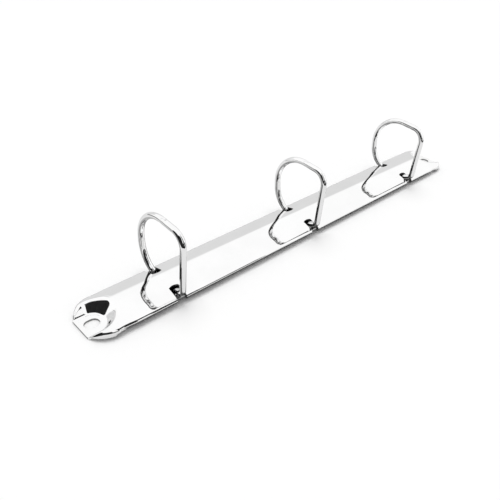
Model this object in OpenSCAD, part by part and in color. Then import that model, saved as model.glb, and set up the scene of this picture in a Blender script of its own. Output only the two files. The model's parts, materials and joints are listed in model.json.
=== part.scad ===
/* [Cover plate] */
// Overall length of the cover plate
plate_l = 208; // [190:1:230]
// Overall width across the curled lips
plate_w = 20.6; // [19.6:0.1:24]
// Height of the crown above the table
crown_h = 5.4; // [5.2:0.1:6.4]
// Thickness of the pressed sheet
sheet_t = 0.7; // [0.5:0.05:0.8]
// Height of the underside of the lips above the table
lip_h = 1.15; // [0.9:0.05:1.4]
// How far the lip reaches inwards under the blade
lip_in = 0.3; // [0.2:0.05:0.4]

/* [Riveting seats] */
// Distance from the end of the plate to the centre of the dish
seat_in = 4.35; // [4:0.05:6]
// Radius of the flat floor of the dish
floor_r = 4.6; // [4.2:0.1:5]
// Radius of the corner between the floor and the wall
bowl_r = 0.8; // [0.5:0.1:1.2]
// Slope of the wall of the dish
wall_a = 53; // [48:1:60]
// Radius of the rounded rim of the dish
rim_r = 3; // [2:0.1:3.4]
// Width of the rivet slot
rivet_w = 4.3; // [3.5:0.1:5]
// Length of the rivet slot
rivet_l = 5.6; // [5.2:0.1:6.4]
// Distance from the end of the plate to the centre of its rounded end
end_in = 9; // [8:0.1:10]
// How far the lips run on past the blades towards the round ends
lip_past = 3.5; // [1:0.5:5]

/* [Rings] */
// Distance from the end of the plate to the nearest ring
end_run = 34; // [30:0.5:40]
// Diameter of the ring wire
wire_d = 2.4; // [2:0.1:2.8]
// Centreline radius of the round half
round_r = 13.15; // [12:0.05:15]
// Angle on the round half at which it turns down to its slot
tail_a = -56; // [-60:1:-50]
// Angle on the round half at which the two halves meet
joint_a = 92.6; // [90:0.1:98]
// Bend radius where the round half turns down
tail_r = 2.4; // [2:0.1:3]
// Straight length of the round half above its blade
tail_l = 0.8; // [0.5:0.05:1.4]
// Lean of the straight leg
leg_a = 0.5; // [-1:0.1:4]
// Bend radius between the straight leg and the top of the ring
top_r = 5.5; // [4:0.1:7]
// Bend radius at the bottom of the straight leg
heel_r = 2; // [1.6:0.1:2.6]
// Bend radius where the foot turns down to the blade
foot_r = 1.8; // [1.5:0.05:2]
// Straight length of the foot
foot_l = 1.95; // [1.6:0.05:2.4]
// Slope of the foot
foot_a = 26; // [20:1:32]

/* [Ring joint] */
// Length of the tongue
tongue_l = 1.5; // [1:0.1:2]
// Thickness of the tongue
tongue_t = 0.8; // [0.6:0.05:1]
// Clearance on each side of the tongue
tongue_clear = 0.1; // [0.05:0.01:0.15]
// Gap between the end faces of the two halves
face_gap = 0.08; // [0.05:0.01:0.15]
// Space beyond the tip of the tongue
tip_gap = 0.15; // [0.1:0.05:0.3]

/* [Hinge blades] */
// Thickness of a blade
blade_t = 0.8; // [0.7:0.05:0.9]
// Slope of a blade with the rings closed
closed_a = 7; // [5:0.5:7.5]
// Distance from the pivot edge to the stakes of the straight halves
near_stake = 2.67; // [2.4:0.01:3]
// Distance from the pivot edge to the stakes of the round halves
far_stake = 1.55; // [1.4:0.05:2]
// Radius of the staked wire end
stake_r = 0.9; // [0.7:0.05:1]
// Radius of the peened head
head_r = 1.35; // [1.2:0.05:1.5]
// Height of the peened head
head_h = 0.5; // [0.3:0.05:0.6]
// Corner cut at the inner ends of a blade
blade_cut = 2; // [1:0.5:3]

/* [Clearances] */
// Running clearance between the pivot edge and the lip
pivot_clear = 0.05; // [0.02:0.01:0.08]
// Clearance of the inner edge of a blade to the middle
middle_clear = 0.1; // [0.05:0.01:0.2]
// Clearance between a blade and the outside of the dish
blade_clear = 0.6; // [0.4:0.1:1]
// Clearance beside the wire in its slot
side_clear = 0.85; // [0.6:0.05:1.2]
// Clearance between the foot of a straight half and the inner end of its slot
slot_clear = 0.8; // [0.5:0.05:1]
// Clearance of a stake in its hole
stake_clear = 0.03; // [0.01:0.01:0.05]

/* [Hidden] */
$fn = 72;
nickel = [0.80, 0.80, 0.79];
far = 60;
// A bend is a hair thinner than the wire, and its neighbours reach a little way into it
hair = wire_d / 240;
lap = wire_d / 48;

// Curled lip: inner and outer radius and the pivot axis that both share
bead_r = blade_t / 2;
curl_in = bead_r + pivot_clear;
curl_out = curl_in + sheet_t;
lip_y = plate_w / 2 - curl_out;
lip_z = lip_h + curl_out;

// Arch that runs tangent into both curls
rise = crown_h - lip_z;
arch_r = (lip_y * lip_y + rise * rise - curl_out * curl_out) / (2 * (rise - curl_out));
arch_z = crown_h - arch_r;
arch_a = asin(lip_y / (arch_r - curl_out));

// Rings, dish and rounded end along the plate
ring_pitch = plate_l / 2 - end_run;
seat_x = plate_l / 2 - seat_in;
end_x = plate_l / 2 - end_in;

// Wall of the dish: out of the corner at bowl_c, up the slope and over the rim at rim_c
wall_in = [-sin(wall_a), cos(wall_a)];
bowl_c = [floor_r, sheet_t + bowl_r];
wall_p = bowl_c - bowl_r * wall_in;
wall_l = (crown_h - rim_r + rim_r * wall_in[1] - wall_p[1]) / sin(wall_a);
rim_c = wall_p + wall_l * [cos(wall_a), sin(wall_a)] - rim_r * wall_in;

// Blades and lips end just short of the dishes
blade_x = seat_x - rim_c[0] - blade_clear;
lip_x = blade_x + lip_past;
skirt_x = lip_x - sheet_t;
blade_w = lip_y - middle_clear;

// Directions in the plane of a ring: first value across the plate, second value up
function dir(a) = [cos(a), sin(a)];
// Shift along a bend of radius r from heading a to heading b
function turn(r, a, b) = sign(b - a) * r * [sin(b) - sin(a), cos(a) - cos(b)];

// Far half: up from its stake, round the tail bend, then along the arc to the joint
far_up = 90 + closed_a;
far_p0 = [lip_y, lip_z] - far_stake * dir(closed_a) + bead_r * dir(far_up);
far_p1 = far_p0 + tail_l * dir(far_up);
far_p2 = far_p1 + turn(tail_r, far_up, tail_a + 90);
round_c = far_p2 - round_r * dir(tail_a);
joint_p = round_c + round_r * dir(joint_a);
joint_h = joint_a - 90;

// Near half: up from its stake, along the foot and the leg, and over the top to the joint
near_up = 90 - closed_a;
foot_h = 180 - foot_a;
leg_h = 90 + leg_a;
near_p0 = [-lip_y, lip_z] + near_stake * dir(-closed_a) + bead_r * dir(near_up);
near_p1 = near_p0 + turn(foot_r, near_up, foot_h);
near_p2 = near_p1 + foot_l * dir(foot_h);
near_p3 = near_p2 + turn(heel_r, foot_h, leg_h);
// The lengths of the leg and of the top run close the path between heel and joint
span = joint_p - near_p3 - turn(top_r, leg_h, joint_h);
cross_lt = cos(leg_h) * sin(joint_h) - sin(leg_h) * cos(joint_h);
leg_l = (span[0] * sin(joint_h) - span[1] * cos(joint_h)) / cross_lt;
top_l = (span[1] * cos(leg_h) - span[0] * sin(leg_h)) / cross_lt;
near_p4 = near_p3 + leg_l * dir(leg_h);
near_p5 = near_p4 + turn(top_r, leg_h, joint_h);

// Slots in both sides of the plate reach in as far as the feet of the straight halves need
slot_w = wire_d + 2 * side_clear;
slot_y = near_p0[0] + wire_d / 2 + slot_clear;

// Places the plane of a ring at one position along the plate
module ring_plane(x) { translate([x, 0, 0]) rotate([90, 0, 90]) children(); }

// Straight wire from p along heading h, reaching e0 back and e1 on past its ends
module run(p, h, l, e0 = lap, e1 = lap) {
    translate([p[0], p[1], 0]) rotate([0, 0, h]) rotate([0, 90, 0])
        translate([0, 0, -e0]) cylinder(d = wire_d, h = l + e0 + e1);
}

// Bent wire of diameter d from p with radius r, from heading a to heading b, reaching e past both ends
module bend(p, r, a, b, d = wire_d - 2 * hair, e = 0) {
    s = sign(b - a);
    c = p + s * r * [-sin(a), cos(a)];
    more = e / r * 180 / PI;
    translate([c[0], c[1], 0]) rotate([0, 0, (s > 0 ? a - 90 : b + 90) - more])
        rotate_extrude(angle = abs(b - a) + 2 * more) translate([r, 0]) circle(d = d);
}

// Staked end below p: the neck that fills the hole and the peened head under the blade
module stake(p, h) {
    translate([p[0], p[1], 0]) rotate([0, 0, h]) rotate([0, 90, 0]) rotate_extrude() polygon([
        [0, -blade_t - head_h], [stake_r, -blade_t - head_h], [head_r, -blade_t - head_h / 2],
        [head_r, -blade_t], [stake_r, -blade_t], [stake_r, lap], [0, lap]
    ]);
}

// Frame of the joint: first axis along the wire, third axis along the plate
module at_joint() { translate([joint_p[0], joint_p[1], 0]) rotate([0, 0, joint_h]) children(); }

module near_half(x) {
    color(nickel) ring_plane(x) {
        stake(near_p0, near_up);
        bend(near_p0, foot_r, near_up, foot_h);
        run(near_p1, foot_h, foot_l);
        bend(near_p2, heel_r, foot_h, leg_h);
        run(near_p3, leg_h, leg_l);
        bend(near_p4, top_r, leg_h, joint_h);
        // The fork that takes the tongue
        difference() {
            run(near_p5, joint_h, top_l, lap, -face_gap / 2);
            at_joint() translate([-tongue_l - tip_gap, -wire_d, -tongue_t / 2 - tongue_clear])
                cube([wire_d + tongue_l, 2 * wire_d, tongue_t + 2 * tongue_clear]);
        }
    }
}

module far_half(x) {
    color(nickel) ring_plane(x) {
        stake(far_p0, far_up);
        run(far_p0, far_up, tail_l, 0);
        bend(far_p1, tail_r, far_up, tail_a + 90);
        // Square end face
        difference() {
            bend(far_p2, round_r, tail_a + 90, joint_a + 90, wire_d, lap);
            at_joint() translate([-wire_d, -wire_d, -wire_d])
                cube([wire_d + face_gap / 2, 2 * wire_d, 2 * wire_d]);
        }
        // Flat tongue that lies in the fork of the near half
        at_joint() translate([-tongue_l, 0, 0]) intersection() {
            rotate([0, 90, 0]) cylinder(d = wire_d - 2 * hair, h = tongue_l + face_gap / 2 + lap);
            translate([0, -wire_d, -tongue_t / 2]) cube([tongue_l + wire_d, 2 * wire_d, tongue_t]);
        }
    }
}

// Blade lying flat: pivot edge on the first axis, body towards +Y, holes at distance e
module blade(e) {
    difference() {
        union() {
            rotate([0, 90, 0]) cylinder(r = bead_r, h = 2 * blade_x, center = true);
            linear_extrude(blade_t, center = true) polygon([
                [-blade_x, 0], [blade_x, 0], [blade_x, blade_w - blade_cut],
                [blade_x - blade_cut, blade_w], [blade_cut - blade_x, blade_w],
                [-blade_x, blade_w - blade_cut]
            ]);
        }
        for (i = [-1 : 1]) translate([i * ring_pitch, e, 0])
            cylinder(r = stake_r + stake_clear, h = 2 * blade_t, center = true);
    }
}

// Everything under a sheet face: arch of radius ra that runs into curls of radius rc
module section(ra, rc) {
    intersection() {
        translate([0, arch_z]) circle(r = ra, $fn = 180);
        polygon([
            [0, arch_z],
            [2 * arch_r * sin(arch_a), arch_z + 2 * arch_r * cos(arch_a)],
            [-2 * arch_r * sin(arch_a), arch_z + 2 * arch_r * cos(arch_a)]
        ]);
    }
    for (s = [-1, 1]) translate([s * lip_y, lip_z]) circle(r = rc);
    translate([-lip_y - rc, -crown_h]) square([2 * (lip_y + rc), crown_h + lip_z]);
}

// The section along the plate, with a revolved round end at each end
module loaf(ra, rc) {
    rotate([90, 0, 90]) linear_extrude(2 * end_x, center = true) section(ra, rc);
    for (s = [0, 1]) mirror([s, 0, 0]) translate([end_x, 0, 0]) rotate([0, 0, -90])
        rotate_extrude(angle = 180) intersection() {
            section(ra, rc);
            translate([0, -far]) square([far, 2 * far]);
        }
}

// Half section of the room in a dish, with its faces set back into the sheet by t
module dish(t) {
    difference() {
        union() {
            polygon([
                [0, sheet_t - t], [floor_r, sheet_t - t], bowl_c - (bowl_r + t) * wall_in,
                rim_c + (rim_r - t) * wall_in, rim_c, [rim_c[0], far], [0, far]
            ]);
            translate(bowl_c) circle(r = bowl_r + t);
        }
        translate(rim_c) circle(r = rim_r - t);
    }
}

// The room in a dish: round towards the rings and open at the end of the plate
module trough(t) {
    rotate_extrude() dish(t);
    rotate([90, 0, 90]) linear_extrude(far) { dish(t); mirror([1, 0]) dish(t); }
}

module at_seats() { for (s = [0, 1]) mirror([s, 0, 0]) translate([seat_x, 0, 0]) children(); }

// Half of a curl under the pivot, and the short flange under the blade
module lip() {
    intersection() {
        difference() {
            circle(r = curl_out);
            circle(r = curl_in);
        }
        translate([0, -far]) square([far, far]);
    }
    translate([-lip_in, -curl_out]) square([lip_in, sheet_t]);
}

module cover_plate() {
    color(nickel) difference() {
        union() {
            difference() {
                intersection() {
                    loaf(arch_r, curl_out);
                    translate([-plate_l / 2, -plate_w, 0]) cube([plate_l, 2 * plate_w, far]);
                }
                at_seats() trough(0);
                // Hollow side of the sheet
                difference() {
                    loaf(arch_r - sheet_t, curl_in);
                    at_seats() trough(sheet_t);
                }
                // The skirt stops above the table, and where the lips are it gives way to them
                difference() {
                    rotate([90, 0, 0]) linear_extrude(2 * plate_w, center = true) polygon([
                        [-plate_l, -sheet_t], [-plate_l, lip_h], [-skirt_x, lip_h], [-skirt_x, lip_z],
                        [skirt_x, lip_z], [skirt_x, lip_h], [plate_l, lip_h], [plate_l, -sheet_t]
                    ]);
                    at_seats() trough(sheet_t);
                }
            }
            for (s = [0, 1]) mirror([0, s, 0]) translate([0, lip_y, lip_z]) rotate([90, 0, 90])
                linear_extrude(2 * lip_x, center = true) lip();
        }
        // Slots for the wires, open through the lips
        for (i = [-1 : 1], m = [0, 1]) translate([i * ring_pitch, 0, -far / 2]) mirror([0, m, 0])
            intersection() {
                translate([-slot_w / 2, slot_y - far, 0]) cube([slot_w, far, far]);
                union() {
                    translate([0, slot_y - slot_w, 0]) cylinder(r = slot_w, h = far);
                    translate([-far, slot_y - slot_w - far, 0]) cube([2 * far, far, far]);
                }
            }
        // Rivet slots
        at_seats() translate([0, 0, -sheet_t]) {
            for (s = [-1, 1]) translate([s * (rivet_l - rivet_w) / 2, 0, 0])
                cylinder(d = rivet_w, h = 3 * sheet_t);
            translate([(rivet_w - rivet_l) / 2, -rivet_w / 2, 0])
                cube([rivet_l - rivet_w, rivet_w, 3 * sheet_t]);
        }
    }
}

module near_hinge_plate() {
    color(nickel) translate([0, -lip_y, lip_z]) rotate([-closed_a, 0, 0]) blade(near_stake);
}

module far_hinge_plate() {
    color(nickel) mirror([0, 1, 0]) translate([0, -lip_y, lip_z]) rotate([-closed_a, 0, 0]) blade(far_stake);
}

module near_ring_half_1() { near_half(-ring_pitch); }
module near_ring_half_2() { near_half(0); }
module near_ring_half_3() { near_half(ring_pitch); }
module far_ring_half_1() { far_half(-ring_pitch); }
module far_ring_half_2() { far_half(0); }
module far_ring_half_3() { far_half(ring_pitch); }

cover_plate();
near_hinge_plate();
far_hinge_plate();
near_ring_half_1();
near_ring_half_2();
near_ring_half_3();
far_ring_half_1();
far_ring_half_2();
far_ring_half_3();
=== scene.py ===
"""Ring binder mechanism in bright nickel plate: an arched cover with riveting seats, two hinge blades
and three split wire rings, lying on a white table. Lengths are millimetres until a mesh is made."""

import json
import math

import bpy
import numpy as np
from mathutils import Matrix, Vector


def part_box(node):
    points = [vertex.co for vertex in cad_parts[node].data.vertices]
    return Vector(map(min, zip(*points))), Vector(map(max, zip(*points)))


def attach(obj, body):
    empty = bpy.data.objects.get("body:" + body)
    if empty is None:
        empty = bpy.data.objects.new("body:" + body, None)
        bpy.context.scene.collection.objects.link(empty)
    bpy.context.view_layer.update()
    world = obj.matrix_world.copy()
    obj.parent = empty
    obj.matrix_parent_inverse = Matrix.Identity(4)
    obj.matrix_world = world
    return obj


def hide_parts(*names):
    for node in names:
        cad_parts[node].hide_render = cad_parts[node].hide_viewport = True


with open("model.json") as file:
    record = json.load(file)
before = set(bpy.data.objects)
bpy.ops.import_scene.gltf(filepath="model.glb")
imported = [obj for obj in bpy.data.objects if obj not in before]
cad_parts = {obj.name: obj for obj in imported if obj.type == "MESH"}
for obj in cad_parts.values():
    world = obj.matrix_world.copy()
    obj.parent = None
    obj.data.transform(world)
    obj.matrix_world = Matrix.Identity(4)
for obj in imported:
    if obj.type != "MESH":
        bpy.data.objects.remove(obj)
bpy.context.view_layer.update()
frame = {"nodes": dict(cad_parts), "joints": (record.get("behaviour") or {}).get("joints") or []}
MM = 0.001

# Places that the frame holds
PLATE_HI = np.array(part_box("cover_plate")[1]) / MM
HALF_L, HALF_W, CROWN = PLATE_HI
PIVOT = {joint["child"]: np.array(joint["pos_m"]) / MM for joint in frame["joints"]}
LIP_Y, LIP_Z = PIVOT["far_rail"][1:]
RINGS = {i: sum(corner.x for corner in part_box(f"near_ring_half_{i}")) / 2 / MM for i in (1, 2, 3)}

# Cover plate: sheet, middle arc and its half width, flange under the blade, and where the lip ends
SHEET = 0.7
ARCH_R = 18.0
ARCH_MID = 2.5
LIP_IN = 0.3
LIP_X = 92.5

# Dish: round end and rivet slot from the end of the plate, floor, corner, slope, rim and crest
END_IN = 9.0
SEAT_IN = 4.35
FLOOR_R = 4.6
BOWL_R = 0.8
WALL_A = math.radians(53)
RIM_R = 3.0
BEYOND_SLOPE = 0.6
CREST_MIN = 0.05
CREST = 1.0
CREST_GROWS = (1.5, 5.5)

# Fold along the sides, rivet slots, and wire slots from the middle line
FOLD_R = 0.75
END_FOLD_R = 1.3
FOLD_STEPS = 300
FOLD_SHARE = 0.25
RIVET_W = 4.3
RIVET_L = 5.6
SLOT_W = 4.1
SLOT_END = 4.45

# Where, along the plate, its points even out, its fold widens and its lip opens to a skirt
EVEN_OUT = (LIP_X - 5, LIP_X)
FOLD_WIDENS = (LIP_X - 14, LIP_X + 1)
LIP_OPENS = (LIP_X - 1, LIP_X + 5)

# Lip and skirt: share of the lip's points in its turn, and how the inner skin closes on the outer one
LIP_TURN = 0.75
HEM_RISE = 0.5
HEM_IN = 0.05
HEM_GAP = 0.02

# Grid of the cover: columns to the slot corner, to the side and down the lip, and steps over a dish
MID, SIDE, LOW = 22, 52, 14
DISH_STEPS = ((84, 91, 0.3), (91, 97, 0.14), (97, HALF_L, 0.22))
SLOT_STEPS = 19
RIVET_REACH = 3.35
RIVET_COLUMNS = 20
ROWS_APART = 1000.0
TINY = 1e-6

# Round halves: wire, circle, the angles where it starts and ends, its widening and the bend of its tail
WIRE_R = 1.2
ROUND_R = 13.15
ROUND_Y = 1.157
ROUND_Z = 16.482
TAIL_A = -57.0
JOINT_A = 92.6
FLARE = 0.9
FLARE_GROWS = (8, 48)
TAIL_R = 1.6

# Straight halves: lean of the leg, its bends, and the foot's length and slope
LEG_A = 0.5
TOP_R = 5.5
HEEL_R = 2.0
FOOT_R = 1.8
FOOT_L = 1.95
FOOT_A = 26.0

# Tongue and fork at the joint, and the grid of the wire
TONGUE_L = 1.5
TONGUE_T = 0.8
TONGUE_CLEAR = 0.05
FACE_GAP = 0.12
TIP_GAP = 0.08
EDGE = 0.06
WIRE_SIDES = 48
ROUND_STEPS = 150
TOP_STEP = 1.5

# Stakes on the hinge blades; the head's curve is distance from its end and share of its radius
BLADE_T = 0.8
CLOSED_A = 7.0
NEAR_STAKE = 2.67
FAR_STAKE = 1.55
STAKE_R = 0.9
HEAD_R = 1.35
HEAD_H = 0.5
HEAD_CURVE = ((0.0, 0.55), (0.08, 0.8), (0.2, 0.95), (0.32, 1.0), (HEAD_H, 1.0))
SHOULDER = 0.05

SHARP_A = math.radians(40)

# Camera: place and aim in millimetres, focal length in pixels of the 500 pixel frame
FRAME_PX = 500
FOCAL_PX = 560.16
SENSOR = 36.0
CAMERA_AT = (-160.08, -126.82, 134.45)
CAMERA_AIM = (-34.82, -6.70, 5.86)
CAMERA_ROLL = math.radians(5.46)

# Studio: the drum that round screens are parts of, then the surroundings. An azimuth is in degrees, a side
# is the cosine to it where a change starts and ends, a top is the same for the upward part of a direction
FLOOR_HALF = 3000
CARD_H = 0.5
NEAR_CARD_H = 0.2
DRUM_AT = (-60, 0)
DRUM_R = 150
DRUM_STEPS = 90
BAND_AZIMUTH = 62
BAND_SIDE = (0.55, 0.75)
BAND_TOP = (0.36, 0.44)
BAND_LEVEL = 0.72
DIM_AZIMUTH = 145
DIM_SIDE = (-0.10, 0.05)
DIM_TOP = (0.80, 0.86)
DARK_AZIMUTH = 190
DARK_SIDE = (0.71, 0.75)
DARK_LEVEL = 0.02
EVEN_LIGHT = 0.60
WINDOW_LIGHT = 1.33
WINDOW_ANGLE = math.radians(36)
WINDOW_AT = (20, 62, 260)


# Shader expressions


class Signal:
    """A socket in a node tree. Arithmetic on signals adds Math nodes, and node() adds any other node."""

    def __init__(self, tree, socket=None):
        self.tree = tree
        self.socket = socket

    def plug(self, value, socket):
        """Links a signal to a socket, or writes a plain value into it."""
        if isinstance(value, Signal):
            self.tree.links.new(value.socket, socket)
        else:
            socket.default_value = value

    def node(self, kind, settings=None, sockets=None, out=0):
        """A node of one kind: its settings come first, then the values or links of its sockets."""
        made = self.tree.nodes.new("ShaderNode" + kind)
        for key, value in (settings or {}).items():
            setattr(made, key, value)
        for key, value in (sockets or {}).items():
            self.plug(value, made.inputs[key])
        return Signal(self.tree, made.outputs[out])

    def math(self, operation, *values):
        """One Math node on up to three values."""
        return self.node("Math", {"operation": operation}, dict(enumerate(values)))

    def __add__(self, other):
        return self.math("ADD", self, other)

    def __radd__(self, other):
        return self.math("ADD", other, self)

    def __sub__(self, other):
        return self.math("SUBTRACT", self, other)

    def __rsub__(self, other):
        return self.math("SUBTRACT", other, self)

    def __mul__(self, other):
        return self.math("MULTIPLY", self, other)

    def __rmul__(self, other):
        return self.math("MULTIPLY", other, self)

    def step(self, low, high):
        """Rises smoothly from 0 at low to 1 at high."""
        kind = {"interpolation_type": "SMOOTHSTEP"}
        return self.node("MapRange", kind, {"Value": self, "From Min": low, "From Max": high})

    def mix(self, low, high):
        """A colour between low and high, with this signal as the factor."""
        return self.node("Mix", {"data_type": "RGBA"}, {0: self, 6: low, 7: high}, out=2)

    def stretch(self, *scale):
        """The vector times a scale for each axis."""
        return self.node("VectorMath", {"operation": "MULTIPLY"}, {0: self, 1: scale})


def grey(level):
    """An opaque grey of one level."""
    return (level, level, level, 1.0)


def material(name):
    """An empty material, as its Principled shader and a signal on its Object coordinates in millimetres."""
    made = bpy.data.materials.new(name)
    made.use_nodes = True
    tree = made.node_tree
    shader = tree.nodes["Principled BSDF"]
    place = Signal(tree).node("TexCoord", out="Object").stretch(1 / MM, 1 / MM, 1 / MM)
    return made, shader, place


def noise(place, scale, detail=2.0, roughness=0.5):
    """Noise at a place: scale is in features per millimetre, detail in octaves."""
    values = {"Vector": place, "Scale": scale, "Detail": detail, "Roughness": roughness}
    return place.node("TexNoise", {}, values)


def nickel_plate(name, tone, gloss, grain, ripple):
    """Bright plating: a faint cloud and specks in its tone, wiping marks and specks in its gloss, and a
    slight ripple of the surface. grain is the scale of the wiping marks on each axis."""
    made, shader, place = material(name)
    cloud = noise(place, scale=0.09, detail=3.0).step(0.35, 0.65)
    wiped = noise(place.stretch(*grain), scale=1.0, detail=4.0, roughness=0.6).step(0.45, 0.8)
    specks = noise(place, scale=2.2).step(0.66, 0.76)
    dark, light = tone
    place.plug((0.35 * specks + 0.65 * cloud).mix(light, dark), shader.inputs["Base Color"])
    place.plug(gloss + 0.05 * wiped + 0.10 * specks, shader.inputs["Roughness"])
    shader.inputs["Metallic"].default_value = 1.0
    waves = noise(place, scale=0.22, detail=1.0) + 0.12 * noise(place, scale=1.6)
    bump = {"Height": waves, "Strength": ripple, "Distance": 0.02 * MM}
    place.plug(place.node("Bump", {}, bump), shader.inputs["Normal"])
    return made


def sheared_edge(name):
    """Cut edge of the sheet: dull metal with torn marks that run through the sheet's thickness. Its dark
    greys are partly the bare metal's own dullness and partly painted shade of the edges in slots and holes.
    """
    made, shader, place = material(name)
    torn = noise(place.stretch(6.0, 6.0, 0.8), scale=1.0, detail=4.0, roughness=0.7)
    # Partly the cut metal's own dull tone, partly painted shade: the greys are kept dark so the slot and
    # hole edges look shaded.
    place.plug(torn.mix(grey(0.16), grey(0.42)), shader.inputs["Base Color"])
    place.plug(0.22 + 0.25 * torn, shader.inputs["Roughness"])
    shader.inputs["Metallic"].default_value = 1.0
    bump = {"Height": torn, "Strength": 0.35, "Distance": 0.03 * MM}
    place.plug(place.node("Bump", {}, bump), shader.inputs["Normal"])
    return made


SHEET_TONE = (grey(0.95), grey(0.99))
WIRE_TONE = (grey(0.93), grey(0.98))
BLADE_TONE = (grey(0.34), grey(0.46))
nickel_sheet = nickel_plate("nickel_sheet", SHEET_TONE, gloss=0.035, grain=(0.15, 1.6, 1.6), ripple=0.25)
nickel_wire = nickel_plate("nickel_wire", WIRE_TONE, gloss=0.04, grain=(1.2, 0.5, 0.5), ripple=0.20)
nickel_blade = nickel_plate("nickel_blade", BLADE_TONE, gloss=0.16, grain=(0.3, 5.0, 5.0), ripple=0.50)
cut_edge = sheared_edge("nickel_sheet_edge")


# Meshes


def grid_faces(rows, columns, closed=False):
    """Quads between neighbouring rows and columns of a grid, numbered row by row; a closed grid also joins
    its last column to its first."""
    i, j = np.meshgrid(np.arange(rows - 1), np.arange(columns - (not closed)), indexing="ij")
    k = (j + 1) % columns
    return np.stack([i * columns + j, (i + 1) * columns + j, (i + 1) * columns + k, i * columns + k], -1)


def piece(name, points, faces, body, materials):
    """An object at the origin with the given points in millimetres, riding on a body if one is named."""
    mesh = bpy.data.meshes.new(name)
    mesh.from_pydata((points * MM).tolist(), [], faces)
    mesh.shade_smooth()
    for each in materials:
        mesh.materials.append(each)
    made = bpy.data.objects.new(name, mesh)
    bpy.context.scene.collection.objects.link(made)
    if body:
        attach(made, body)
    return made


def free_edges(faces):
    """Directed edges of quads that no neighbour shares."""
    edges = np.stack([faces, np.roll(faces, -1, axis=1)], -1).reshape(-1, 2)
    low_high = np.sort(edges, axis=1)
    _, place, count = np.unique(low_high, axis=0, return_inverse=True, return_counts=True)
    return edges[count[place.ravel()] == 1]


def cut(target, origin, axes, low, high):
    """Takes a box out of a piece: low and high are its corners along the axes from the origin."""
    corner = np.array(np.meshgrid([0, 1], [0, 1], [0, 1], indexing="ij")).reshape(3, -1).T
    points = origin + (np.array(low) + corner * np.subtract(high, low)) @ axes
    sides = [(0, 1, 3, 2), (4, 6, 7, 5), (0, 4, 5, 1), (2, 3, 7, 6), (0, 2, 6, 4), (1, 5, 7, 3)]
    tool = piece("cutter", points, sides, None, [])
    step = target.modifiers.new("cut", "BOOLEAN")
    step.operation = "DIFFERENCE"
    step.solver = "EXACT"
    step.object = tool
    bpy.context.view_layer.update()
    shown = target.evaluated_get(bpy.context.evaluated_depsgraph_get())
    target.data = bpy.data.meshes.new_from_object(shown)
    target.modifiers.clear()
    bpy.data.objects.remove(tool)


# Cover plate


def smooth_min(a, b, width):
    """The lower of two heights, rounded where they are within width of each other."""
    share = np.clip(0.5 + 0.5 * (b - a) / width, 0, 1)
    return b + (a - b) * share - width * share * (1 - share)


def smooth_step(value, low, high):
    """Rises from 0 at low to 1 at high, as three squares less two cubes of the part of the way."""
    part = np.clip((value - low) / (high - low), 0, 1)
    return part * part * (3 - 2 * part)


def slot_end(off):
    """Distance from the middle line to the inner end of a slot, at a distance off the slot's own middle:
    an arc whose radius is the slot's width."""
    return SLOT_END + SLOT_W - np.sqrt(SLOT_W**2 - off**2)


# The arch is a close arc over the middle, a wider arc at each side and the curl, each tangent to the next
CURL = HALF_W - LIP_Y
ARCH_Z = CROWN - ARCH_R
ARCH_A = math.asin(ARCH_MID / ARCH_R)


def side_shift():
    """How far the side arc's centre lies from the middle arc's centre, along the radius where they meet:
    only so does the side arc touch the curl as well. It is negative, because that centre lies deeper."""
    drop = ARCH_Z - LIP_Z
    divisor = ARCH_R - CURL - math.sin(ARCH_A) * LIP_Y + math.cos(ARCH_A) * drop
    return ((ARCH_R - CURL) ** 2 - LIP_Y**2 - drop**2) / 2 / divisor


SIDE_SHIFT = side_shift()
SIDE_R = ARCH_R - SIDE_SHIFT
SIDE_Y = SIDE_SHIFT * math.sin(ARCH_A)
SIDE_Z = ARCH_Z + SIDE_SHIFT * math.cos(ARCH_A)
CURL_S = (LIP_Y - SIDE_Y) / (SIDE_R - CURL)
END_X = HALF_L - END_IN
SEAT_X = HALF_L - SEAT_IN
LIP_H = LIP_Z - CURL
SLOT_CORNER = slot_end(SLOT_W / 2)

# Rim of the dish: centre of its rounding, tangent to the slope and to the crown
FOOT_P = FLOOR_R + BOWL_R * math.sin(WALL_A)
FOOT_Z = SHEET + BOWL_R - BOWL_R * math.cos(WALL_A)
RIM_Z = CROWN - RIM_R
RIM_P = FOOT_P + (RIM_Z + RIM_R * math.cos(WALL_A) - FOOT_Z) / math.tan(WALL_A) + RIM_R * math.sin(WALL_A)


def arch_height(q, t):
    """Height of the sheet at distance q from the middle line, set back by t: the close arc of the middle,
    the wider arc of the side and the curl round the pivot axis."""
    arch = ARCH_Z + np.sqrt(np.maximum((ARCH_R - t) ** 2 - q**2, 0))
    side = SIDE_Z + np.sqrt(np.maximum((SIDE_R - t) ** 2 - (q - SIDE_Y) ** 2, 0))
    curl = LIP_Z + np.sqrt(np.maximum((CURL - t) ** 2 - (q - LIP_Y) ** 2, 0))
    mid_end = (ARCH_R - t) * math.sin(ARCH_A)
    side_end = SIDE_Y + (SIDE_R - t) * CURL_S
    return np.select([q < mid_end, q < side_end], [arch, side], curl)


def dish_height(p, t):
    """Height of the dish at distance p from its axis, set back by t: flat floor, round corner, slope and
    rounded rim. Beyond the rim it goes on rising, clear of the arch."""
    corner, rim = BOWL_R + t, RIM_R - t
    foot = FLOOR_R + corner * math.sin(WALL_A)
    brow = RIM_P - rim * math.sin(WALL_A)
    bowl = SHEET + BOWL_R - np.sqrt(np.maximum(corner**2 - (p - FLOOR_R) ** 2, 0))
    slope = SHEET + BOWL_R - corner * math.cos(WALL_A) + (p - foot) * math.tan(WALL_A)
    round_rim = RIM_Z + np.sqrt(np.maximum(rim**2 - (p - RIM_P) ** 2, 0))
    beyond = CROWN - t + BEYOND_SLOPE * (p - RIM_P)
    parts = [p < FLOOR_R, p < foot, p < brow, p < RIM_P]
    return np.select(parts, [SHEET - t, bowl, slope, round_rim], beyond)


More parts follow.
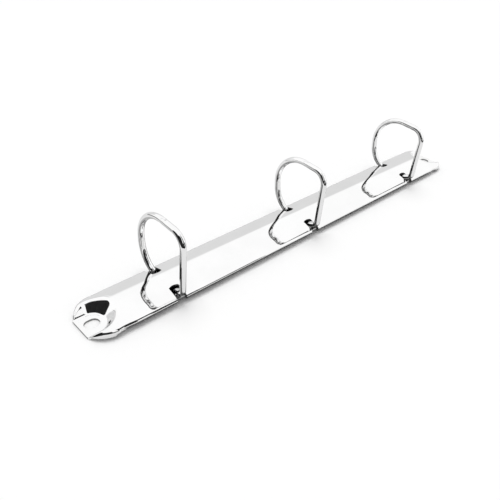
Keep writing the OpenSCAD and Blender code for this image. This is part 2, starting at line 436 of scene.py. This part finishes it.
def top_height(x, y, t):
    """Height of the cover over (x, y): the arch, revolved at the round end, and the dish, whichever is
    lower. The dish is round towards the rings and runs straight out to the end. The crest between them is
    rounded more, away from the middle line."""
    x = np.abs(x)
    q = np.hypot(np.maximum(x - END_X, 0), y)
    p = np.hypot(np.minimum(x - SEAT_X, 0), y)
    crest = CREST_MIN + CREST * smooth_step(np.abs(y), *CREST_GROWS)
    return smooth_min(arch_height(q, t), dish_height(p, t), crest)


def respace(y, z, share):
    """Moves the points of each row towards even spacing along the row, by a share for each row. The rows are
    laid far apart on one line, so that one interpolation serves them all."""
    step = np.hypot(np.diff(y, prepend=y[:, :1]), np.diff(z, prepend=z[:, :1]))
    s = np.cumsum(step, axis=1)
    apart = ROWS_APART * np.arange(len(s))[:, None]
    goal = s + (s[:, -1:] * np.linspace(0, 1, s.shape[1]) - s) * share + apart
    return (np.interp(goal.ravel(), (s + apart).ravel(), each.ravel()).reshape(s.shape) for each in (y, z))


def fold(y, z, radius):
    """Rounds the ridges of each row in place: a point that bends more sharply than the radius moves towards
    the middle of its neighbours, the more the sharper it is, again and again."""
    for _ in range(FOLD_STEPS):
        back_y, back_z = y[:, 1:-1] - y[:, :-2], z[:, 1:-1] - z[:, :-2]
        on_y, on_z = y[:, 2:] - y[:, 1:-1], z[:, 2:] - z[:, 1:-1]
        length = (np.hypot(back_y, back_z) + np.hypot(on_y, on_z)) / 2
        bend = (back_z * on_y - back_y * on_z) / length**3
        move = FOLD_SHARE * np.clip(bend * radius - 1, 0, 1)
        y[:, 1:-1] += move * (on_y - back_y)
        z[:, 1:-1] += move * (on_z - back_z)


def half_section(x, t):
    """Half of the cover's section at each x, set back by t, as y and z from the middle line to the free
    edge: even steps in y to the slot corners, sine steps to the side, then the lip.
    The lip is a quarter turn and a flange under the blade. At the round ends it opens to a skirt, which
    stops above the table or at the underside of the dish."""
    x = x[:, None]
    beyond = np.maximum(np.abs(x) - END_X, 0)
    width = np.sqrt(HALF_W**2 - beyond**2)
    side = np.sqrt(np.maximum((HALF_W - t) ** 2 - beyond**2, 0))
    corner = SLOT_CORNER * width / HALF_W
    inner = corner * np.linspace(0, 1, MID, endpoint=False)
    outer = corner + (side - corner) * np.sin(np.linspace(0, math.pi / 2, SIDE))
    y = np.hstack([inner, outer])
    z = top_height(x, y, t)
    edge = z[:, -1:]
    down = np.linspace(0, 1, LOW + 1)[1:]
    curl = math.pi / 2 * np.minimum(down / LIP_TURN, 1)
    flange = np.maximum((down - LIP_TURN) / (1 - LIP_TURN), 0)
    lip_y = LIP_Y + (CURL - t) * np.cos(curl) - LIP_IN * flange
    lip_z = LIP_Z - (CURL - t) * np.sin(curl)
    under = np.minimum(LIP_H, dish_height(np.hypot(np.minimum(np.abs(x) - SEAT_X, 0), width), SHEET))
    thin = np.clip((LIP_H - edge) / HEM_RISE, 0, 1) if t else 0
    hem = LIP_H + (under - HEM_GAP - LIP_H) * thin if t else under
    skirt_y = side + thin * (width - HEM_IN - side) * down
    skirt_z = edge + (hem - edge) * down
    open_out = smooth_step(np.abs(x), *LIP_OPENS)
    y = np.hstack([y, lip_y + (skirt_y - lip_y) * open_out])
    z = np.hstack([z, lip_z + (skirt_z - lip_z) * open_out])
    y, z = respace(y, z, smooth_step(np.abs(x), *EVEN_OUT))
    if t == 0:
        fold(y, z, FOLD_R + (END_FOLD_R - FOLD_R) * smooth_step(np.abs(x), *FOLD_WIDENS))
    return y, z


def stations():
    """Places along the plate: close together over the dishes and the slots, far apart between them."""
    dish = np.concatenate([np.arange(*run) for run in DISH_STEPS])
    slots = [RINGS[i] + SLOT_W / 2 * np.linspace(-1, 1, SLOT_STEPS) for i in RINGS]
    return np.sort(np.concatenate([-dish, dish, [-HALF_L, HALF_L], *slots]))


def stadium(angle):
    """Distance from the middle of the rivet slot to its edge at an angle: flat sides and round ends."""
    c, s = np.abs(np.cos(angle)), np.abs(np.sin(angle)) + 1e-9
    run = (RIVET_L - RIVET_W) / 2
    r = RIVET_W / 2
    return np.where(r * c / s < run, r / s, run * c + np.sqrt(np.maximum(r**2 - (run * s) ** 2, 0)))


def cover_plate():
    """Two skins a sheet apart, each one half section mirrored and carried along the plate, joined by a rim
    along every free edge. In the slots only the middle of the section is left, and its end is an arc."""
    x = stations()
    ring_x = np.array(list(RINGS.values()))
    near = np.abs(x[:, None] - ring_x).min(1)
    in_slot = near < SLOT_W / 2 + TINY
    slot_row = np.abs((x[1:] + x[:-1])[:, None] / 2 - ring_x).min(1) < SLOT_W / 2
    shrink = slot_end(np.minimum(near, SLOT_W / 2)) / SLOT_CORNER
    skins = []
    for t in (0, SHEET):
        y, z = half_section(x, t)
        y[in_slot, : MID + 1] *= shrink[in_slot, None]
        z[in_slot, : MID + 1] = top_height(x[in_slot, None], y[in_slot, : MID + 1], t)
        y = np.hstack([-y[:, :0:-1], y])
        z = np.hstack([z[:, :0:-1], z])
        skins.append(np.stack([np.broadcast_to(x[:, None], y.shape), y, z], -1))
    rows, columns = skins[0].shape[:2]
    centre = columns // 2
    faces = grid_faces(rows, columns)
    cell = np.arange(columns - 1)
    open_cell = (cell < centre - MID) | (cell >= centre + MID)
    keep = ~(slot_row[:, None] & open_cell)
    points = [skin.reshape(-1, 3) for skin in skins]
    number = np.arange(rows * columns).reshape(rows, columns)
    patches = []
    for end in (-1, 1):
        reach_x = np.array([SEAT_X - RIVET_REACH, SEAT_X + RIVET_REACH])
        i0, i1 = np.searchsorted(x, np.sort(end * reach_x))
        j0, j1 = centre - RIVET_COLUMNS, centre + RIVET_COLUMNS
        keep[i0:i1, j0:j1] = False
        loop = np.concatenate([
            number[i0:i1, j0], number[i1, j0:j1], number[i1:i0:-1, j1], number[i0, j1:j0:-1]
        ])
        across = points[0][loop] - (end * SEAT_X, 0, 0)
        angle = np.arctan2(across[:, 1], across[:, 0])
        reach = stadium(angle)
        hole = np.stack([end * SEAT_X + reach * np.cos(angle), reach * np.sin(angle)], -1)
        rim = len(points[0]) + np.arange(len(loop))
        for k, t in enumerate((0, SHEET)):
            points[k] = np.vstack([points[k], np.c_[hole, np.full(len(hole), SHEET - t)]])
        patches.append(np.stack([loop, np.roll(loop, -1), np.roll(rim, -1), rim], -1))
    quads = np.vstack([faces[keep], *patches])
    count = len(points[0])
    edges = free_edges(quads)
    wall = np.stack([edges[:, 1], edges[:, 0], edges[:, 0] + count, edges[:, 1] + count], -1)
    every = np.vstack([quads, quads[:, ::-1] + count, wall])
    used, packed = np.unique(every, return_inverse=True)
    made = piece(
        "cover_plate_shell", np.vstack(points)[used], packed.reshape(every.shape).tolist(),
        "cover", [nickel_sheet, cut_edge],
    )
    rim_index = np.zeros(len(every), np.int32)
    rim_index[-len(wall):] = 1
    made.data.polygons.foreach_set("material_index", rim_index)
    made.data.set_sharp_from_angle(angle=SHARP_A)
    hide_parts("cover_plate")


cover_plate()


# Rings


def heading(a):
    """Direction at an angle in degrees, as its cosine and sine."""
    a = np.radians(a)
    return np.stack([np.cos(a), np.sin(a)], -1)


def turn(r, a, b):
    """Shift along a bend of radius r from heading a to heading b."""
    a, b = np.radians(a), np.radians(b)
    r = np.sign(b - a) * r
    return np.stack([r * (np.sin(b) - np.sin(a)), r * (np.cos(a) - np.cos(b))], -1)


class Path:
    """A line in the plane of a ring, built from runs and bends: points, headings and distance along it."""

    def __init__(self, start, angle):
        self.points = np.array([start], float)
        self.angles = np.array([float(angle)])

    def run(self, length, step=0.8):
        """Goes straight on for a length."""
        s = np.linspace(0, length, max(int(length / step), 1) + 1)[1:, None]
        self.points = np.vstack([self.points, self.points[-1] + s * heading(self.angles[-1])])
        self.angles = np.append(self.angles, np.full(len(s), self.angles[-1]))
        return self

    def bend(self, r, to, step=3.0):
        """Turns to a heading on an arc of radius r."""
        a = self.angles[-1]
        b = np.linspace(a, to, max(int(abs(to - a) / step), 2) + 1)[1:]
        self.points = np.vstack([self.points, self.points[-1] + turn(r, a, b)])
        self.angles = np.append(self.angles, b)
        return self

    def follow(self, points):
        """Goes on through given points, and heads along the line between the neighbours of each."""
        lead = np.vstack([self.points[-1], points])
        y, z = np.gradient(lead, axis=0).T
        self.points = np.vstack([self.points, points])
        self.angles = np.append(self.angles, np.degrees(np.arctan2(z, y))[1:])
        return self

    def along(self):
        """Distance from the start to each point, as the sum of the steps."""
        return np.append(0, np.cumsum(np.hypot(*np.diff(self.points, axis=0).T)))

    def at(self, s):
        """Points and headings at distances s."""
        way = self.along()
        y, z = (np.interp(s, way, self.points[:, k]) for k in (0, 1))
        return np.stack([y, z], -1), np.interp(s, way, self.angles)


def wire(name, x, path, s, r, node, body):
    """A tube of radius r about a path in the plane at x: point (s, a) is the path at s plus r cos(a) across
    the path and r sin(a) along the plate. Flat faces close both ends."""
    place, angle = path.at(s)
    a = np.linspace(0, 2 * math.pi, WIRE_SIDES, endpoint=False)
    across = heading(angle + 90)[:, None, :] * (r[:, None] * np.cos(a))[..., None]
    yz = place[:, None, :] + across
    points = np.dstack([x + r[:, None] * np.sin(a), yz]).reshape(-1, 3)
    quads = grid_faces(len(s), WIRE_SIDES, closed=True).reshape(-1, 4)[:, ::-1].tolist()
    first = np.arange(WIRE_SIDES)
    last = first[::-1] + (len(s) - 1) * WIRE_SIDES
    faces = quads + [first.tolist(), last.tolist()]
    made = piece(name, points, faces, body, [nickel_wire])
    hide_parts(node)
    return made


def stake_profile():
    """Distance and radius along the staked end: peened head, neck in the blade, shoulder on the blade."""
    head = [(s, share * HEAD_R) for s, share in HEAD_CURVE]
    top = HEAD_H + BLADE_T
    neck = [(HEAD_H, STAKE_R), (top, STAKE_R)]
    return head + neck + [(top, WIRE_R - SHOULDER), (top + SHOULDER, WIRE_R)]


def closed_path(side, stake):
    """A path that starts under the blade of one side, -1 near and 1 far, at its stake and runs up
    through it."""
    slope = CLOSED_A * side
    seat = np.array([side * LIP_Y, LIP_Z]) - side * stake * heading(slope)
    up = 90 + slope
    return Path(seat - (BLADE_T / 2 + HEAD_H) * heading(up), up).run(BLADE_T + HEAD_H)


def round_half():
    """Points of the round half: a circle about its centre that widens below its equator towards the
    slot."""
    a = np.linspace(TAIL_A, JOINT_A, ROUND_STEPS)
    r = ROUND_R + FLARE * smooth_step(-a, *FLARE_GROWS)
    return np.array([ROUND_Y, ROUND_Z]) + r[:, None] * heading(a)


def two_runs(first, second, span):
    """Lengths of two runs, each with its heading, that together cover the span."""
    return np.linalg.solve(np.stack([heading(first), heading(second)], -1), span)


def far_path():
    """The far half up to its joint: the tail goes up from the blade, bends outwards and runs straight into
    the round half."""
    path = closed_path(1, FAR_STAKE)
    arc = round_half()
    up = path.angles[-1]
    tail = np.degrees(np.arctan2(*(arc[1] - arc[0])[::-1]))
    up_l, tail_l = two_runs(up, tail, arc[0] - path.points[-1] - turn(TAIL_R, up, tail))
    return path.run(up_l).bend(TAIL_R, tail).run(tail_l).follow(arc[1:])


def near_path(joint):
    """The near half: a foot that leans out of the slot, and a leg and a top run of the lengths that close
    it on the joint."""
    path = closed_path(-1, NEAR_STAKE).bend(FOOT_R, 180 - FOOT_A).run(FOOT_L).bend(HEEL_R, LEG_H)
    span = joint - path.points[-1] - turn(TOP_R, LEG_H, JOINT_H)
    leg_l, top_l = two_runs(LEG_H, JOINT_H, span)
    return path.run(leg_l).bend(TOP_R, JOINT_H, TOP_STEP).run(top_l)


LEG_H = 90 + LEG_A
JOINT_H = JOINT_A - 90
FAR_PATH = far_path()
JOINT = FAR_PATH.points[-1]
FAR_PATH.run(TONGUE_L)
NEAR_PATH = near_path(JOINT)


def wire_stations(path, end):
    """Distances and radii along a half ring: its stake, the plain wire, and the broken edge of its end."""
    low = stake_profile()
    plain = [(s, WIRE_R) for s in path.along() if low[-1][0] < s < end - EDGE]
    return np.array(low + plain + [(end - EDGE, WIRE_R), (end, WIRE_R - EDGE)]).T


def ring_halves(i):
    """Both halves of one ring. The round half ends in a tongue that the fork of the straight half takes."""
    x = RINGS[i]
    near_node, far_node = f"near_ring_half_{i}", f"far_ring_half_{i}"
    near_s, near_r = wire_stations(NEAR_PATH, NEAR_PATH.along()[-1] - FACE_GAP / 2)
    near = wire(f"near_ring_half_{i}_wire", x, NEAR_PATH, near_s, near_r, near_node, "near_rail")
    far_s, far_r = wire_stations(FAR_PATH, FAR_PATH.along()[-1])
    far = wire(f"far_ring_half_{i}_wire", x, FAR_PATH, far_s, far_r, far_node, "far_rail")
    origin = np.array([x, *JOINT])
    axes = np.array([[0, *heading(JOINT_H)], [1, 0, 0], [0, *heading(JOINT_H + 90)]])
    slit, slab, wide = TONGUE_T / 2 + TONGUE_CLEAR, TONGUE_T / 2, 2 * WIRE_R
    cut(near, origin, axes, (-TONGUE_L - TIP_GAP, -slit, -wide), (wide, slit, wide))
    cut(far, origin, axes, (-wide, slab, -wide), (FACE_GAP / 2, wide, wide))
    cut(far, origin, axes, (-wide, -wide, -wide), (FACE_GAP / 2, -slab, wide))
    for each in (near, far):
        each.data.set_sharp_from_angle(angle=SHARP_A)


for ring in RINGS:
    ring_halves(ring)

for blade in ("near_hinge_plate", "far_hinge_plate"):
    node = frame["nodes"][blade]
    node.data.materials.clear()
    node.data.materials.append(nickel_blade)


# Camera


def look(at, aim, roll):
    """A matrix that stands at one point, looks at another, and is rolled about its own axis."""
    at, aim = Vector(at) * MM, Vector(aim) * MM
    turned = (aim - at).to_track_quat("-Z", "Y").to_matrix().to_4x4()
    return Matrix.Translation(at) @ turned @ Matrix.Rotation(roll, 4, "Z")


camera_data = bpy.data.cameras.new("camera")
camera_data.sensor_width = SENSOR
camera_data.lens = SENSOR * FOCAL_PX / FRAME_PX
camera_data.clip_start = 0.01
camera = bpy.data.objects.new("camera", camera_data)
camera.matrix_world = look(CAMERA_AT, CAMERA_AIM, CAMERA_ROLL)
bpy.context.scene.collection.objects.link(camera)
bpy.context.scene.camera = camera


# Studio


def stage_piece(name, points, faces, made, only_mirrored):
    """A piece of the stage; one that is only mirrored shows in polished metal and nowhere else."""
    set_up = piece(name, np.array(points, float), faces, None, [made])
    if only_mirrored:
        set_up.visible_camera = False
        set_up.visible_diffuse = False
        set_up.visible_shadow = False
        set_up.visible_transmission = False


def flat_card(name, low, high, height, made, only_mirrored=True):
    """A level rectangle between two corners."""
    (x0, y0), (x1, y1) = low, high
    corners = [(x0, y0, height), (x1, y0, height), (x1, y1, height), (x0, y1, height)]
    stage_piece(name, corners, [(0, 1, 2, 3)], made, only_mirrored)


def upright_card(name, start, end, foot, top, made):
    """An upright rectangle over the line from start to end, only mirrored."""
    corners = [(*start, foot), (*end, foot), (*end, top), (*start, top)]
    stage_piece(name, corners, [(0, 1, 2, 3)], made, True)


def round_screen(name, foot, profile, made):
    """Part of an upright drum with a level foot, only mirrored. Its top runs through the points of its
    profile, each an angle and a height."""
    angles, tops = np.array(profile, float).T
    a = np.linspace(angles[0], angles[-1], DRUM_STEPS)
    ring = np.array(DRUM_AT) + DRUM_R * heading(a)
    rows = [np.c_[ring, height] for height in (np.full(len(a), foot), np.interp(a, angles, tops))]
    stage_piece(name, np.vstack(rows), grid_faces(2, len(a)).reshape(-1, 4).tolist(), made, True)


def second_mirroring(place):
    """One where a ray has been mirrored twice or more, nought before."""
    return place.node("LightPath", out="Glossy Depth").step(1.4, 1.6)


def matt(name, level, mirrored=None, second_only=False):
    """Matt paper of one level, with another level where metal mirrors it if one is given. Paper that is
    second_only is there in second mirrorings alone."""
    made, shader, place = material(name)
    shader.inputs["Roughness"].default_value = 1.0
    shader.inputs["Specular IOR Level"].default_value = 0.0
    glossy = place.node("LightPath", out="Is Glossy Ray")
    fibre = noise(place, scale=0.4, detail=3.0).step(0.2, 0.8)
    shade = glossy.mix(grey(level), grey(level if mirrored is None else mirrored))
    place.plug((0.02 * fibre).mix(shade, grey(0.9 * level)), shader.inputs["Base Color"])
    if second_only:
        place.plug(second_mirroring(place), shader.inputs["Alpha"])
    return made


paper = matt("paper", 1.0, mirrored=0.78)
black = matt("black_card", 0.02)
flat_card("floor", (-FLOOR_HALF, -FLOOR_HALF), (FLOOR_HALF, FLOOR_HALF), 0, paper, only_mirrored=False)
flat_card("left_apron", (-600, -600), (-140, 600), CARD_H, black)
flat_card("front_apron", (-140, -600), (300, -110), CARD_H, black)
# Painted shadow seen only in the metal: a dark strip on the floor right behind the plate and a dimmer one
# beyond it.
flat_card("back_shade", (-150, 12), (95, 18), CARD_H, matt("back_shadow_card", 0.2))
flat_card("back_shadow_fade", (-150, 18), (95, 32), CARD_H, matt("back_shadow_fade_card", 0.45))
# Painted shadow seen only in the metal: the floor's contact shadow just in front of the near lip.
flat_card("near_lip_shadow", (-92, -15), (92, -9.6), NEAR_CARD_H, matt("near_lip_shadow_card", 0.12))
CAMERA_SCREEN = (
    (150, 0), (160, 50), (170, 76), (180, 95), (190, 118), (200, 155), (210, 190), (225, 215), (252, 215),
    (252.5, 70), (270, 60), (271, 82), (279, 82),
)
round_screen("camera_screen", 0, CAMERA_SCREEN, black)
upright_card("front_screen", (-20, -150), (75, -150), 0, 70, black)
upright_card("end_flag", (-125, -12), (-125, 22), 18, 44, black)
upright_card("end_card", (-112, -8), (-112, 28), 3, 30, matt("end_paper", 0.9, second_only=True))
round_screen("raised_flag", 55, ((278, 350), (300, 350)), black)
round_screen("low_flag", 92, ((273, 200), (278, 200)), black)


def studio_world():
    """White surroundings as metal sees them, with a light grey band low down on the far right and a dark
    patch on the left. What one mirroring part shows of another is dark on the far left as well. The camera
    sees plain white, and other surfaces get a plain even light."""
    world = bpy.data.worlds.new("studio")
    world.use_nodes = True
    tree = world.node_tree
    tree.nodes.clear()
    start = Signal(tree)
    direction = start.node("TexCoord", out="Generated")
    up = direction.node("SeparateXYZ", {}, {0: direction}, out="Z")

    def towards(azimuth):
        """How far the direction points to an azimuth, as a cosine."""
        sockets = {0: direction, 1: (*heading(azimuth), 0)}
        return direction.node("VectorMath", {"operation": "DOT_PRODUCT"}, sockets, out="Value")

    def background(colour, strength):
        """Light of one colour from all the surroundings."""
        return start.node("Background", {}, {"Color": colour, "Strength": strength})

    band = (1 - up.step(*BAND_TOP)) * towards(BAND_AZIMUTH).step(*BAND_SIDE)
    dim = second_mirroring(start) * towards(DIM_AZIMUTH).step(*DIM_SIDE) * (1 - up.step(*DIM_TOP))
    unlit = 1 - (1 - dim) * (1 - towards(DARK_AZIMUTH).step(*DARK_SIDE))
    seen = unlit.mix(band.mix(grey(1.0), grey(BAND_LEVEL)), grey(DARK_LEVEL))
    camera_ray = start.node("LightPath", out="Is Camera Ray")
    glossy_ray = start.node("LightPath", out="Is Glossy Ray")
    mirrored = background(seen, 1.0)
    light = background(grey(1.0), EVEN_LIGHT)
    white = background(grey(1.0), 1.0)
    unseen = start.node("MixShader", {}, {0: glossy_ray, 1: light, 2: mirrored})
    both = start.node("MixShader", {}, {0: camera_ray, 1: unseen, 2: white})
    out = tree.nodes.new("ShaderNodeOutputWorld")
    tree.links.new(both.socket, out.inputs["Surface"])
    bpy.context.scene.world = world


studio_world()

lamp_data = bpy.data.lights.new("far_window", "SUN")
lamp_data.energy = WINDOW_LIGHT
lamp_data.angle = WINDOW_ANGLE
lamp = bpy.data.objects.new("far_window", lamp_data)
lamp.matrix_world = look(WINDOW_AT, (0, 0, 0), 0)
lamp.visible_glossy = False
bpy.context.scene.collection.objects.link(lamp)

bpy.context.scene.view_settings.view_transform = "Standard"
